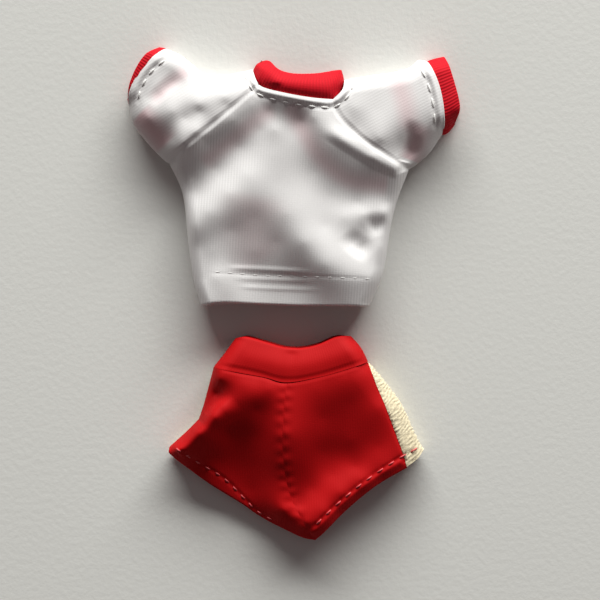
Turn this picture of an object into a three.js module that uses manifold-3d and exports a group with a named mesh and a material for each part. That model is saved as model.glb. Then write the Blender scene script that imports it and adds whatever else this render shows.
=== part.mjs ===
// A cheer uniform for an 11 cm doll, laid out face up: a white raglan top with red bands, and red shorts below it.
// Millimetres, +Z up, +Y towards the neck. The origin is on the surface that the uniform lies on, under its middle.
// Each garment is a soft flat tube, made as a thin shell that is cut along its seams into the pieces it is sewn from.
import * as THREE from "three";
import { mergeVertices } from "three/addons/utils/BufferGeometryUtils.js";
import Module from "manifold-3d";

const wasm = await Module();
wasm.setup();

// ---------- cloth and thread ----------
const clothThickness = 0.5;
const bandThickness = 1.0; // a knitted band is folded double
const seamGap = 0.3; // between two pieces that are sewn edge to edge
const threadThickness = 0.25;
const threadLift = 0.1; // between a row of thread and the cloth under it
const roundingSteps = 4; // facets in the rounding of a folded edge

// ---------- the top, from the middle of its hem ----------
const top = {
  hemHalf: 17.0,
  underarmHalf: 23.7,
  underarmHeight: 27.5,
  shoulderHeight: 46.0,
  neckHalf: 9.0,
  neckDrop: 4.9,
  raglanHalf: 7.0, // where a raglan seam meets the neckline, across from the middle
  cuffLineLength: 14.5, // the sleeve's flat width at its end
  cuffReach: 21.7, // from the side of the neck to the middle of the sleeve's end
  cuffRise: -2.75, // how much higher than the side of the neck that middle is
  cuffTilt: 23.6, // the sleeve's direction at its end, in degrees above level
  loft: 7.4,
  sideSeamHeight: 2.2,
  shoulderRounding: 5.0,
  turn: -3.5, // how the top lies, in degrees
};
const neckBand = { height: 4.6, dip: 2.6, taper: 1.6, loftLoss: 0.2 };
const cuffBandReach = { left: 2.2, right: 3.8 }; // the left cuff has rolled under
const cuffLoftLoss = 0.2;
const neckStitchInset = 1.6;
const neckStitchShort = 0.7; // how far the row stops before each raglan seam
const cuffStitchInset = 1.5;
const hemStitchHeight = 6.4;

// The back opens down its middle: a flap with hook tape closes over an underlap with loop tape.
const closure = {
  flapWidth: 7.2,
  flapRight: 3.8, // the flap's hinge edge, to the right of the middle
  tapeWidth: 5.0,
  tapeThickness: 0.5,
  tapeEndMargin: 1.5,
  layerGap: 0.1,
  underlapSeam: 4.0, // how far the underlap reaches over the left back
  underlapShort: 1.5, // how far the underlap stops under the neckline
  ramp: 0.9, // the length of the step that lifts the underlap over the tapes
};

// ---------- the shorts, from the middle of the waist seam's ends ----------
const shorts = {
  waistHalf: 15.3,
  waistEndHeight: 0.4,
  waistDip: 3.6, // how far the waist seam drops at the centre front
  cornerHalf: 25.3,
  cornerDrop: 17.5,
  sideSwell: { left: -1.5, right: 1.7 }, // how far each side bows out from a straight line
  crotchDrop: 34.8,
  crotchShift: 1.5, // the shorts lie a little twisted
  stripeWidth: 3.6,
  stripeTopWidth: 0.9,
  loft: 8.0,
  sideSeamHeight: 2.4,
  shoulderRounding: 5.0,
  turn: 3.0,
};
const waistband = { height: 5.4, taper: 3.8, dip: 2.6, thickness: 1.5, skin: 0.4, loftLoss: 0.4 };
const elasticClearance = 0.15;
const legStitchInset = 1.6;

// ---------- how the two garments lie ----------
const garmentGap = 12.4; // from the top's hem to the waist seam's ends, measured down the middle
const shortsShift = 1.3; // the shorts lie a little to the right of the hem's middle

const overrun = 16; // how far a tube runs on past its openings before it is cut
const tallest = 30; // higher than anything here

// ---------- colours ----------
const white = new THREE.MeshStandardMaterial({ color: 0xf1edea, roughness: 0.62, metalness: 0 });
const red = new THREE.MeshStandardMaterial({ color: 0xc4141f, roughness: 0.68, metalness: 0 });
const cream = new THREE.MeshStandardMaterial({ color: 0xe6d9ba, roughness: 0.9, metalness: 0 });
const whiteThread = new THREE.MeshStandardMaterial({ color: 0xf6f3ef, roughness: 0.5, metalness: 0 });
const redThread = new THREE.MeshStandardMaterial({ color: 0xd3202c, roughness: 0.5, metalness: 0 });
const tape = new THREE.MeshStandardMaterial({ color: 0xe9e7e3, roughness: 0.85, metalness: 0 });
const elasticWhite = new THREE.MeshStandardMaterial({ color: 0xdedbd4, roughness: 0.8, metalness: 0 });

// ---------- helpers ----------
const point = (x, y) => new THREE.Vector2(x, y);
const mirrored = (p) => point(-p.x, p.y);
const along = (from, to, share) => from.clone().lerp(to, share);
const unit = (degrees) => point(Math.cos(degrees * THREE.MathUtils.DEG2RAD), Math.sin(degrees * THREE.MathUtils.DEG2RAD));

// A closed three.js geometry as a manifold-3d solid.
function solid(geometry) {
  const bare = new THREE.BufferGeometry();
  const flat = geometry.index ? geometry.toNonIndexed() : geometry;
  bare.setAttribute("position", flat.getAttribute("position"));
  const merged = mergeVertices(bare, 1e-4);
  const mesh = new wasm.Mesh({
    numProp: 3,
    vertProperties: merged.attributes.position.array,
    triVerts: new Uint32Array(merged.index.array),
  });
  return new wasm.Manifold(mesh);
}

// A manifold-3d solid as a named three.js mesh.
function meshOf(name, made, material) {
  const { vertProperties, triVerts, numProp } = made.getMesh();
  const geometry = new THREE.BufferGeometry();
  const places = new THREE.InterleavedBuffer(vertProperties, numProp);
  geometry.setAttribute("position", new THREE.InterleavedBufferAttribute(places, 3, 0));
  geometry.setIndex(new THREE.BufferAttribute(triVerts, 1));
  const flat = geometry.toNonIndexed();
  flat.computeVertexNormals();
  const mesh = new THREE.Mesh(flat, material);
  mesh.name = name;
  return mesh;
}

// A straight-sided block over an outline, from low to high, with every side drawn in by inset.
function block(outline, low, high, inset = 0) {
  const lip = (high - low) / 4;
  const geometry = new THREE.ExtrudeGeometry(new THREE.Shape(outline), {
    depth: high - low - 2 * lip,
    bevelThickness: lip,
    bevelSize: 0,
    bevelOffset: -inset,
    bevelSegments: 1,
    curveSegments: 1,
  });
  return solid(geometry.translate(0, 0, low + lip));
}

// A flat slab between two heights, wider than any garment.
function level(low, high) {
  return solid(new THREE.BoxGeometry(400, 400, high - low).translate(0, 0, (low + high) / 2));
}

// Half of a soft form: straight up from the side seam, then rounded over by rise and rounding, as a folded edge is.
function halfForm(outline, rise, rounding, inset) {
  const geometry = new THREE.ExtrudeGeometry(new THREE.Shape(outline), {
    depth: 1,
    bevelThickness: rise,
    bevelSize: rounding,
    bevelOffset: -rounding - inset,
    bevelSegments: roundingSteps,
    curveSegments: 1,
  });
  return geometry;
}

// A soft form that lies flat: widest at the side seam, domed above it and rounded down to the surface below it.
function softForm(outline, form, inset) {
  const seam = form.sideSeamHeight;
  const rise = form.loft - seam - inset;
  const drop = seam - inset;
  const upper = halfForm(outline, rise, form.shoulderRounding - inset, inset).translate(0, 0, seam - 1);
  const lower = halfForm(outline, drop, drop, inset).translate(0, 0, seam);
  return solid(upper)
    .intersect(level(seam - seamGap, tallest))
    .add(solid(lower).intersect(level(-1, seam)));
}

// A tube of cloth lying flat: the soft form's skin, wall thick, starting depth under its surface.
function tube(outline, form, wall, depth = 0) {
  return softForm(outline, form, depth).subtract(softForm(outline, form, depth + wall));
}

// A piece of cloth: the part of a tube that stands over its own outline, between two heights.
function cut(fromTube, outline, low = -1, high = tallest) {
  return fromTube.intersect(block(outline, low, high, seamGap / 2));
}

// A row of sewing thread: a narrow line laid just over the front of a garment.
function threadRow(outline, form, line) {
  const over = tube(outline, form, threadThickness, -threadLift - threadThickness);
  return over.intersect(block(line, form.sideSeamHeight + 0.5, tallest));
}

// A straight strip between two points, as wide as a thread.
function threadLine(from, to) {
  const side = to.clone().sub(from).normalize().rotateAround(point(0, 0), Math.PI / 2);
  side.multiplyScalar(threadThickness / 2);
  return [from.clone().sub(side), to.clone().sub(side), to.clone().add(side), from.clone().add(side)];
}

// ---------- the top's outline, right half ----------
const cuffDirection = unit(top.cuffTilt);
const cuffAcross = unit(top.cuffTilt + 90);
const cuffMiddle = point(top.neckHalf + top.cuffReach * 0.9, top.shoulderHeight + top.cuffRise);
const onCuff = (side) => cuffMiddle.clone().addScaledVector(cuffAcross, (side * top.cuffLineLength) / 2);

const hemCorner = point(top.hemHalf, 0);
const underarm = point(top.underarmHalf, top.underarmHeight);
const cuffBottom = onCuff(-1);
const cuffTop = onCuff(1);
const neckSide = point(top.neckHalf, top.shoulderHeight);

// The neckline is the lower half of an ellipse between the two sides of the neck.
function neckline(fromX, toX, drop = 0) {
  const angle = (x) => Math.PI + Math.acos(THREE.MathUtils.clamp(-x / top.neckHalf, -1, 1));
  const curve = new THREE.EllipseCurve(
    0, top.shoulderHeight, top.neckHalf + drop, top.neckDrop + drop, angle(fromX), angle(toX), fromX > toX, 0,
  );
  return curve.getPoints(8);
}
const raglanTop = neckline(top.raglanHalf, top.neckHalf)[0];

const topOutline = [
  point(top.hemHalf, -overrun),
  hemCorner,
  underarm,
  cuffBottom,
  cuffBottom.clone().addScaledVector(cuffDirection, overrun),
  cuffTop.clone().addScaledVector(cuffDirection, overrun),
  cuffTop,
  neckSide,
  point(top.neckHalf, top.shoulderHeight + overrun),
];
const topTubeOutline = [...topOutline, ...topOutline.map(mirrored).reverse()];
const topTube = tube(topTubeOutline, top, clothThickness);

// ---------- the top's pieces ----------
const aboveSeam = top.sideSeamHeight + seamGap / 2;
const belowSeam = top.sideSeamHeight - seamGap / 2;
const flapLeft = closure.flapRight - closure.flapWidth;
const neckTop = top.shoulderHeight - top.neckDrop + neckBand.height;

function topFrontPanel() {
  const outline = [
    mirrored(hemCorner), hemCorner, underarm, ...neckline(top.raglanHalf, -top.raglanHalf), mirrored(underarm),
  ];
  return cut(topTube, outline, aboveSeam);
}

function topBackPanel(side) {
  const middle = side > 0 ? closure.flapRight : flapLeft;
  const outline = [
    point(middle, 0),
    point(side * top.hemHalf, 0),
    point(side * top.underarmHalf, top.underarmHeight),
    ...neckline(side * top.raglanHalf, middle),
  ];
  return cut(topTube, outline, -1, belowSeam);
}

// A sleeve is one piece, folded along the shoulder and sewn under the arm.
function sleeve(side) {
  const outline = [underarm, cuffBottom, cuffTop, neckSide, ...neckline(top.neckHalf, top.raglanHalf).slice(1)];
  return cut(topTube, side > 0 ? outline : outline.map(mirrored));
}

function cuffBand(side) {
  const reach = side > 0 ? cuffBandReach.right : cuffBandReach.left;
  const run = (corner, distance) => corner.clone().addScaledVector(cuffDirection, distance);
  const bandOutline = [
    run(cuffBottom, -overrun), run(cuffBottom, overrun + reach), run(cuffTop, overrun + reach), run(cuffTop, -overrun),
  ];
  const visible = [cuffBottom, run(cuffBottom, reach), run(cuffTop, reach), cuffTop];
  const place = (outline) => (side > 0 ? outline : outline.map(mirrored));
  const form = { ...top, loft: top.loft - cuffLoftLoss };
  return cut(tube(place(bandOutline), form, bandThickness), place(visible));
}

function neckBandRing() {
  const slope = neckBand.taper / neckBand.height;
  const halfAt = (height) => top.neckHalf - seamGap - slope * (height - top.shoulderHeight + neckBand.dip);
  const [low, high] = [top.shoulderHeight - 2 * neckBand.height, top.shoulderHeight + 2 * neckBand.height];
  const bandOutline = [
    point(halfAt(low), low), point(halfAt(high), high), point(-halfAt(high), high), point(-halfAt(low), low),
  ];
  const topEnd = neckTop + neckBand.dip;
  const freeEdge = new THREE.QuadraticBezierCurve(
    point(top.neckHalf, topEnd), point(0, neckTop - neckBand.dip), point(-top.neckHalf, topEnd),
  );
  const visible = [...neckline(-top.neckHalf, top.neckHalf), ...freeEdge.getPoints(8)];
  const form = { ...top, loft: top.loft - neckBand.loftLoss, shoulderRounding: 3 };
  const flapRoom = [
    point(flapLeft - seamGap / 2, 0), point(closure.flapRight + seamGap / 2, 0),
    point(closure.flapRight + seamGap / 2, neckTop + overrun), point(flapLeft - seamGap / 2, neckTop + overrun),
  ];
  return cut(tube(bandOutline, form, bandThickness), visible).subtract(block(flapRoom, -1, belowSeam));
}

// The closure's layers, from the surface up: flap, hook tape, loop tape, underlap.
const hookBase = clothThickness + closure.layerGap;
const loopBase = hookBase + closure.tapeThickness + closure.layerGap;
const underlapBase = loopBase + closure.tapeThickness + closure.layerGap;
const flapMiddle = (flapLeft + closure.flapRight) / 2;
const underlapTop = top.shoulderHeight - top.neckDrop - closure.underlapShort;

function backFlap() {
  const width = closure.flapWidth - seamGap;
  const strip = new THREE.BoxGeometry(width, neckTop, clothThickness);
  return solid(strip.translate(flapMiddle, neckTop / 2, clothThickness / 2));
}

function closureTape(base) {
  const length = underlapTop - 2 * closure.tapeEndMargin;
  const strip = new THREE.BoxGeometry(closure.tapeWidth, length, closure.tapeThickness);
  return solid(strip.translate(flapMiddle, underlapTop / 2, base + closure.tapeThickness / 2));
}

function backUnderlap() {
  const low = clothThickness + closure.layerGap;
  const seamEnd = flapLeft - closure.underlapSeam;
  const stepFoot = flapLeft - seamGap - closure.ramp;
  const profile = new THREE.Shape([
    point(seamEnd, low),
    point(stepFoot, low),
    point(stepFoot + closure.ramp, underlapBase),
    point(closure.flapRight - seamGap, underlapBase),
    point(closure.flapRight - seamGap, underlapBase + clothThickness),
    point(stepFoot + closure.ramp - clothThickness / 2, underlapBase + clothThickness),
    point(stepFoot - clothThickness / 2, low + clothThickness),
    point(seamEnd, low + clothThickness),
  ]);
  const strip = new THREE.ExtrudeGeometry(profile, { depth: underlapTop, bevelEnabled: false });
  return solid(strip.rotateX(Math.PI / 2).translate(0, underlapTop, 0));
}

function neckStitching() {
  const reach = top.raglanHalf - neckStitchShort;
  const inner = neckline(-reach, reach, neckStitchInset - threadThickness / 2);
  const outer = neckline(reach, -reach, neckStitchInset + threadThickness / 2);
  return threadRow(topTubeOutline, top, [...outer.reverse(), ...inner.reverse()]);
}

function cuffStitching(side) {
  const inboard = (corner) => corner.clone().addScaledVector(cuffDirection, -cuffStitchInset);
  const ends = [inboard(cuffBottom), inboard(cuffTop)].map((p) => (side > 0 ? p : mirrored(p)));
  return threadRow(topTubeOutline, top, threadLine(...ends));
}

function hemStitching() {
  const reach = top.hemHalf - top.shoulderRounding / 2;
  return threadRow(topTubeOutline, top, threadLine(point(-reach, hemStitchHeight), point(reach, hemStitchHeight)));
}

// ---------- the shorts' outline ----------
const waistEnd = point(shorts.waistHalf, shorts.waistEndHeight);
const waistMiddle = point(0, shorts.waistEndHeight - shorts.waistDip);
const corner = point(shorts.cornerHalf, -shorts.cornerDrop);
const crotch = point(shorts.crotchShift, -shorts.crotchDrop);

// One side of the shorts, from the waist seam to the corner of the leg, bowed a little on its way.
function sideEdge(side) {
  const from = side > 0 ? waistEnd : mirrored(waistEnd);
  const to = side > 0 ? corner : mirrored(corner);
  const bow = side > 0 ? shorts.sideSwell.right : -shorts.sideSwell.left;
  const swell = along(from, to, 0.5).add(point(2 * bow, 0));
  return new THREE.QuadraticBezierCurve(from, swell, to).getPoints(5);
}

// A leg opening's edge runs from the corner to the crotch; outwards is square to it.
function legOutwards(side) {
  const end = side > 0 ? corner : mirrored(corner);
  const edge = crotch.clone().sub(end).normalize();
  return edge.rotateAround(point(0, 0), side > 0 ? Math.PI / 2 : -Math.PI / 2);
}

const legEnd = { right: corner, left: mirrored(corner) };
const pastLeg = (from, side) => from.clone().addScaledVector(legOutwards(side), overrun);
const shortsOutline = [
  point(-shorts.waistHalf, overrun),
  ...sideEdge(-1),
  pastLeg(legEnd.left, -1),
  pastLeg(crotch, -1),
  crotch,
  pastLeg(crotch, 1),
  pastLeg(legEnd.right, 1),
  ...sideEdge(1).reverse(),
  point(shorts.waistHalf, overrun),
];
const shortsTube = tube(shortsOutline, shorts, clothThickness);

// ---------- the shorts' pieces ----------
const aboveShortsSeam = shorts.sideSeamHeight + seamGap / 2;
const belowShortsSeam = shorts.sideSeamHeight - seamGap / 2;

// The seam between a panel and the side stripe, which narrows towards the waist.
function stripeSeam(side) {
  const atWaist = point(side * (shorts.waistHalf - shorts.stripeTopWidth), shorts.waistEndHeight);
  const atLeg = along(side > 0 ? legEnd.right : legEnd.left, crotch, shorts.stripeWidth / shorts.cornerHalf);
  return [atWaist, atLeg];
}

// A front or back panel, from the centre seam out to the side. striped says that the side stripe takes its edge.
function shortsPanel(side, striped, low, high) {
  const outer = striped ? stripeSeam(side) : sideEdge(side);
  const outline = [waistMiddle, crotch, ...outer.slice().reverse()];
  return cut(shortsTube, outline, low, high);
}

function sideStripe(side, high) {
  const [atWaist, atLeg] = stripeSeam(side);
  const outline = [atWaist, ...sideEdge(side), atLeg];
  return cut(shortsTube, outline, -1, high);
}

// The waistband's outline leans in by its taper, and runs on past both its edges by runOn.
function waistbandOutline(runOn) {
  const slope = waistband.taper / waistband.height;
  const halfAt = (height) => shorts.waistHalf - seamGap - slope * height;
  const [low, high] = [-runOn, waistband.height + runOn];
  return [
    point(halfAt(low), low), point(halfAt(high), high), point(-halfAt(high), high), point(-halfAt(low), low),
  ];
}

// What shows of the waistband: both its edges dip at the centre front. short stops it that far under its free edge.
function waistbandFace(short) {
  const endHeight = shorts.waistEndHeight + waistband.height - short;
  const reach = shorts.waistHalf;
  const freeMiddle = point(0, endHeight - waistband.dip);
  return [
    mirrored(waistEnd), waistMiddle, waistEnd, point(reach, endHeight), freeMiddle, point(-reach, endHeight),
  ];
}

const waistForm = { ...shorts, loft: shorts.loft - waistband.loftLoss, shoulderRounding: 4 };
const casingDepth = waistband.thickness - 2 * waistband.skin;

// The waistband is folded over the elastic, so it is two skins joined at the free edge, open where it is sewn on.
function waistbandCasing() {
  const band = cut(tube(waistbandOutline(8), waistForm, waistband.thickness), waistbandFace(0));
  const channel = cut(tube(waistbandOutline(8), waistForm, casingDepth, waistband.skin), channelFace());
  return band.subtract(channel);
}

function channelFace() {
  const drop = point(0, -2);
  const face = waistbandFace(waistband.skin + seamGap);
  return face.map((p, i) => (i < 3 ? p.clone().add(drop) : p));
}

function waistElastic() {
  const depth = waistband.skin + elasticClearance;
  const wall = casingDepth - 2 * elasticClearance;
  const face = waistbandFace(waistband.skin + 2 * seamGap);
  return cut(tube(waistbandOutline(8), waistForm, wall, depth), face);
}

function legStitching(side) {
  const end = side > 0 ? legEnd.right : legEnd.left;
  const inside = legOutwards(side).multiplyScalar(-legStitchInset);
  const from = along(end, crotch, 0.06).add(inside);
  const to = along(end, crotch, 0.94).add(inside);
  return threadRow(shortsOutline, shorts, threadLine(from, to));
}

// ---------- the uniform ----------
const topGroup = new THREE.Group();
topGroup.rotation.z = THREE.MathUtils.degToRad(top.turn);
topGroup.add(
  meshOf("top_front_panel", topFrontPanel(), white),
  meshOf("top_back_left_panel", topBackPanel(-1), white),
  meshOf("top_back_right_panel", topBackPanel(1), white),
  meshOf("left_sleeve", sleeve(-1), white),
  meshOf("right_sleeve", sleeve(1), white),
  meshOf("neck_band", neckBandRing(), red),
  meshOf("left_cuff_band", cuffBand(-1), red),
  meshOf("right_cuff_band", cuffBand(1), red),
  meshOf("back_flap", backFlap(), white),
  meshOf("hook_tape", closureTape(hookBase), tape),
  meshOf("loop_tape", closureTape(loopBase), tape),
  meshOf("back_underlap", backUnderlap(), white),
  meshOf("neck_stitching", neckStitching(), whiteThread),
  meshOf("left_cuff_stitching", cuffStitching(-1), whiteThread),
  meshOf("right_cuff_stitching", cuffStitching(1), whiteThread),
  meshOf("top_hem_stitching", hemStitching(), whiteThread),
);

const shortsGroup = new THREE.Group();
shortsGroup.rotation.z = THREE.MathUtils.degToRad(shorts.turn);
shortsGroup.position.set(shortsShift, -garmentGap, 0);
shortsGroup.add(
  meshOf("shorts_front_left_panel", shortsPanel(-1, false, aboveShortsSeam, tallest), red),
  meshOf("shorts_front_right_panel", shortsPanel(1, true, aboveShortsSeam, tallest), red),
  meshOf("shorts_back_left_panel", shortsPanel(-1, true, -1, belowShortsSeam), red),
  meshOf("shorts_back_right_panel", shortsPanel(1, true, -1, belowShortsSeam), red),
  meshOf("left_side_stripe", sideStripe(-1, belowShortsSeam), cream),
  meshOf("right_side_stripe", sideStripe(1, tallest), cream),
  meshOf("waistband", waistbandCasing(), red),
  meshOf("waist_elastic", waistElastic(), elasticWhite),
  meshOf("left_leg_stitching", legStitching(-1), redThread),
  meshOf("right_leg_stitching", legStitching(1), redThread),
);

const uniform = new THREE.Group();
uniform.add(topGroup, shortsGroup);
const bounds = new THREE.Box3().setFromObject(uniform, true);
const middle = bounds.getCenter(new THREE.Vector3());
uniform.position.set(-middle.x, -middle.y, -bounds.min.z);

export default uniform;
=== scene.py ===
# A cheer uniform for an 11 cm doll, lying face up on pale paper: a white raglan top and red shorts.
# Shapes are planned in millimetres in the frame's own axes, and become metres where a mesh is made.
import math
import bpy
import numpy as np
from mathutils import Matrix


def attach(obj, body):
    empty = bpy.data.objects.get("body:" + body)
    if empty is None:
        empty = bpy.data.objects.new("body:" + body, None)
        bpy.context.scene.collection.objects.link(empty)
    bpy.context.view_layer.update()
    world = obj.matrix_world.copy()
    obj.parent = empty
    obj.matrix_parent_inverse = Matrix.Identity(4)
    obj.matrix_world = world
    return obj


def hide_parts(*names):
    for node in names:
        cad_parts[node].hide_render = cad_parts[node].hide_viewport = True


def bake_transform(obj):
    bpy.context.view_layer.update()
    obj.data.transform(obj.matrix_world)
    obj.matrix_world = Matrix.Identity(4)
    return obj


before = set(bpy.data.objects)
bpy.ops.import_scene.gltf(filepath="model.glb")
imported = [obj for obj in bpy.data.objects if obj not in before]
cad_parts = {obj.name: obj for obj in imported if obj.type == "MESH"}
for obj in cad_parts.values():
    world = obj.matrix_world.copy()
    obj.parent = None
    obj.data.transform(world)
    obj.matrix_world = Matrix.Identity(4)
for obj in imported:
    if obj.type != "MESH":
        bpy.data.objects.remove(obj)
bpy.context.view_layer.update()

mm = 0.001

# Camera, and the view transform.
view = {
    "middle": (0.0, -1.75),  # what the camera looks straight down at
    "height": 420.0,
    "width": 120.0,  # how much of the floor it takes in
    "subjectHeight": 3.0,
}
cameraData = bpy.data.cameras.new("camera")
cameraData.sensor_width = 36
cameraData.lens = 36 * (view["height"] - view["subjectHeight"]) / view["width"]
cameraData.clip_start = 0.01
camera = bpy.data.objects.new("camera", cameraData)
camera.location = (view["middle"][0] * mm, view["middle"][1] * mm, view["height"] * mm)
bpy.context.collection.objects.link(camera)
bpy.context.scene.camera = camera

bpy.context.scene.view_settings.view_transform = "Standard"
print("camera ready")


# Plan curves and grids.
def smoothThrough(points, steps=12):
    p = np.array(points, float)
    p = np.vstack([2 * p[0] - p[1], p, 2 * p[-1] - p[-2]])
    run = []
    for i in range(1, len(p) - 2):
        t = np.linspace(0, 1, steps, endpoint=False)[:, None]
        a, b, c, d = p[i - 1], p[i], p[i + 1], p[i + 2]
        run.append(0.5 * (2 * b + (c - a) * t + (2 * a - 5 * b + 4 * c - d) * t ** 2
                          + (3 * b - a - 3 * c + d) * t ** 3))
    run.append(p[-2][None])
    return np.vstack(run)


def lengthsAlong(curve):
    return np.concatenate([[0], np.cumsum(np.linalg.norm(np.diff(curve, axis=0), axis=1))])


def at(curve, shares):
    run = lengthsAlong(curve)
    place = np.asarray(shares) * run[-1]
    return np.stack([np.interp(place, run, curve[:, k]) for k in range(curve.shape[1])], -1)


# Shares from 0 to 1 that crowd towards both ends, where cloth turns over an edge.
def crowded(count):
    return 0.5 - 0.5 * np.cos(np.linspace(0, math.pi, count))


# Two runs that meet at a corner, with the corner at the same share on every edge.
def cornered(first, second, shares, corner):
    s = np.asarray(shares)
    low = at(first, np.clip(s / corner, 0, 1))
    high = at(second, np.clip((s - corner) / (1 - corner), 0, 1))
    return np.where((s < corner)[:, None], low, high)


# A grid of plan points between four edges. Left and right run up, bottom and top run across.
def fillBetween(bottom, top, left, right, across, up):
    s = np.asarray(across)[None, :, None]
    t = np.asarray(up)[:, None, None]
    sides = left[:, None] * (1 - s) + right[:, None] * s
    ends = bottom[None] * (1 - t) + top[None] * t
    corners = ((bottom[0] * (1 - s) + bottom[-1] * s) * (1 - t) + (top[0] * (1 - s) + top[-1] * s) * t)
    return sides + ends - corners


# How far each point is from a run of line pieces, which side of it, and how far along.
def besideLine(points, line):
    flat = points.reshape(-1, 2)
    a, b = line[:-1], line[1:]
    d = b - a
    size = np.maximum((d ** 2).sum(1), 1e-9)
    run = lengthsAlong(line)
    best = np.full(len(flat), 1e9)
    side = np.zeros(len(flat))
    place = np.zeros(len(flat))
    for i in range(len(a)):
        r = flat - a[i]
        t = np.clip(r @ d[i] / size[i], 0, 1)
        gap = r - t[:, None] * d[i]
        far = np.hypot(gap[:, 0], gap[:, 1])
        nearer = far < best
        best = np.where(nearer, far, best)
        side = np.where(nearer, np.sign(d[i][0] * r[:, 1] - d[i][1] * r[:, 0]), side)
        place = np.where(nearer, run[i] + t * math.sqrt(size[i]), place)
    shape = points.shape[:-1]
    return best.reshape(shape), side.reshape(shape), (place / run[-1]).reshape(shape)


def ease(share):
    s = np.clip(share, 0, 1)
    return s * s * (3 - 2 * s)


# A fold is a crest along a line, or a hollow if high is under nought: left and right are its widths on either
# side, fade the shares of it that die away at its start and its end.
def fold(line, high, left, right, fade):
    return {"line": line, "high": high, "left": left, "right": right, "fade": fade}


def foldHeight(points, folds):
    total = np.zeros(points.shape[:-1])
    for crest in folds:
        line = smoothThrough(crest["line"], 6) if len(crest["line"]) > 2 else np.array(crest["line"], float)
        far, side, place = besideLine(points, line)
        width = np.where(side > 0, crest["left"], crest["right"])
        shape = 1 - ease(far / width)
        start, end = crest["fade"]
        reach = np.ones_like(far)
        if start:
            reach = reach * ease(place / start)
        if end:
            reach = reach * ease((1 - place) / end)
        total += crest["high"] * shape * reach
    return total


# Points along a row where the needle went through.
def needleHoles(line, pitch, gap):
    length = lengthsAlong(line)[-1]
    count = max(2, int(length / pitch))
    starts = (np.arange(count) + 0.15) * length / count
    ends = starts + length / count - gap
    return at(line, starts / length), at(line, ends / length)


def prickHeight(points, holes, depth, radius):
    total = np.zeros(points.shape[:-1])
    for hole in holes:
        d2 = ((points - hole) ** 2).sum(-1)
        total -= depth * np.exp(-d2 / (2 * radius ** 2))
    return total


# A slow, even wobble, so that no cloth is perfectly smooth.
def wobble(points, seed, size, high):
    x, y = points[..., 0] / size, points[..., 1] / size
    rng = np.random.default_rng(seed)
    total = np.zeros(points.shape[:-1])
    for k in range(7):
        turn, shift, grow = rng.uniform(0, 6.283), rng.uniform(0, 6.283), 1 + 0.45 * k
        total += np.sin((x * math.cos(turn) + y * math.sin(turn)) * grow + shift
                        + 0.8 * np.sin(0.7 * grow * (y * math.cos(turn) - x * math.sin(turn))
                                       + 2 * shift)) / grow
    return total * high / 2.4


# Meshes from grids.
def meshFrom(name, grid, plan=None, ring=False, flip=False, tints=None):
    plan = grid[..., :2] if plan is None else plan
    if ring:  # the first column again, merged below, so that the plan needn't jump back
        grid = np.concatenate([grid, grid[:, :1]], 1)
        plan = plan if plan.shape[1] == grid.shape[1] else np.concatenate([plan, plan[:, :1]], 1)
        tints = {key: np.concatenate([value, value[:, :1]], 1) for key, value in (tints or {}).items()}
    rows, cols = grid.shape[:2]
    index = np.arange(rows * cols).reshape(rows, cols)
    a, b, c, d = index[:-1, :-1], index[:-1, 1:], index[1:, 1:], index[1:, :-1]
    faces = np.stack([a, d, c, b] if flip else [a, b, c, d], -1).reshape(-1, 4)
    mesh = bpy.data.meshes.new(name)
    mesh.from_pydata((grid.reshape(-1, 3) * mm).tolist(), [], faces.tolist())
    piece = bpy.data.objects.new(name, mesh)
    bpy.context.collection.objects.link(piece)
    layer = mesh.uv_layers.new(name="clothPlan")
    values = plan.reshape(-1, 2)[faces.reshape(-1)]
    layer.data.foreach_set("uv", np.ascontiguousarray(values, np.float32).reshape(-1))
    for key, value in (tints or {}).items():
        attribute = mesh.attributes.new(key, "FLOAT", "POINT")
        attribute.data.foreach_set("value", np.ascontiguousarray(value, np.float32).reshape(-1))
    mesh.polygons.foreach_set("use_smooth", [True] * len(mesh.polygons))
    mesh.update()
    if ring:
        mergeDoubles(piece)
    return piece


def mergeDoubles(piece):
    only(piece)
    bpy.ops.object.mode_set(mode="EDIT")
    bpy.ops.mesh.select_all(action="SELECT")
    bpy.ops.mesh.remove_doubles(threshold=0.01 * mm)
    bpy.ops.object.mode_set(mode="OBJECT")


def only(piece):
    bpy.ops.object.select_all(action="DESELECT")
    piece.select_set(True)
    bpy.context.view_layer.objects.active = piece


# Cloth gets its thickness under the face that was shaped. Its cut edges stay crisp.
sharpTurn = math.radians(55)


def thicken(piece, thickness):
    only(piece)
    wall = piece.modifiers.new("thickness", "SOLIDIFY")
    wall.thickness = thickness * mm
    wall.offset = -1
    wall.use_even_offset = False
    bpy.ops.object.modifier_apply(modifier=wall.name)
    piece.data.set_sharp_from_angle(angle=sharpTurn)


def gridNormals(grid, ring=False):
    if ring:
        wide = np.concatenate([grid[:, -1:], grid, grid[:, :1]], 1)
        across = (wide[:, 2:] - wide[:, :-2])
    else:
        across = np.gradient(grid, axis=1)
    along = np.gradient(grid, axis=0)
    n = np.cross(across, along)
    return n / np.maximum(np.linalg.norm(n, axis=-1, keepdims=True), 1e-9)


# How many rows of a grid lie within a distance of its first row, measured up its middle.
def rowsWithin(grid, depth):
    return int(np.searchsorted(lengthsAlong(grid[:, grid.shape[1] // 2]), depth))


# Folds the first rows of a grid back inside it, as a hem is: inner is how many rows, gap the room between.
def turnedUp(grid, rows, gap, ring=False, sign=1):
    n = gridNormals(grid, ring) * sign
    out = grid[0] - grid[1]
    out /= np.maximum(np.linalg.norm(out, axis=-1, keepdims=True), 1e-9)
    inner = (grid[: rows + 1] - n[: rows + 1] * gap)[::-1]
    turn = []
    for angle in (135, 90, 45):
        a = math.radians(angle)
        middle = grid[0] - n[0] * gap / 2
        turn.append(middle + n[0] * (math.cos(a) * gap / 2) + out * (math.sin(a) * gap / 2))
    return np.concatenate([inner, np.stack(turn), grid])


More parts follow.
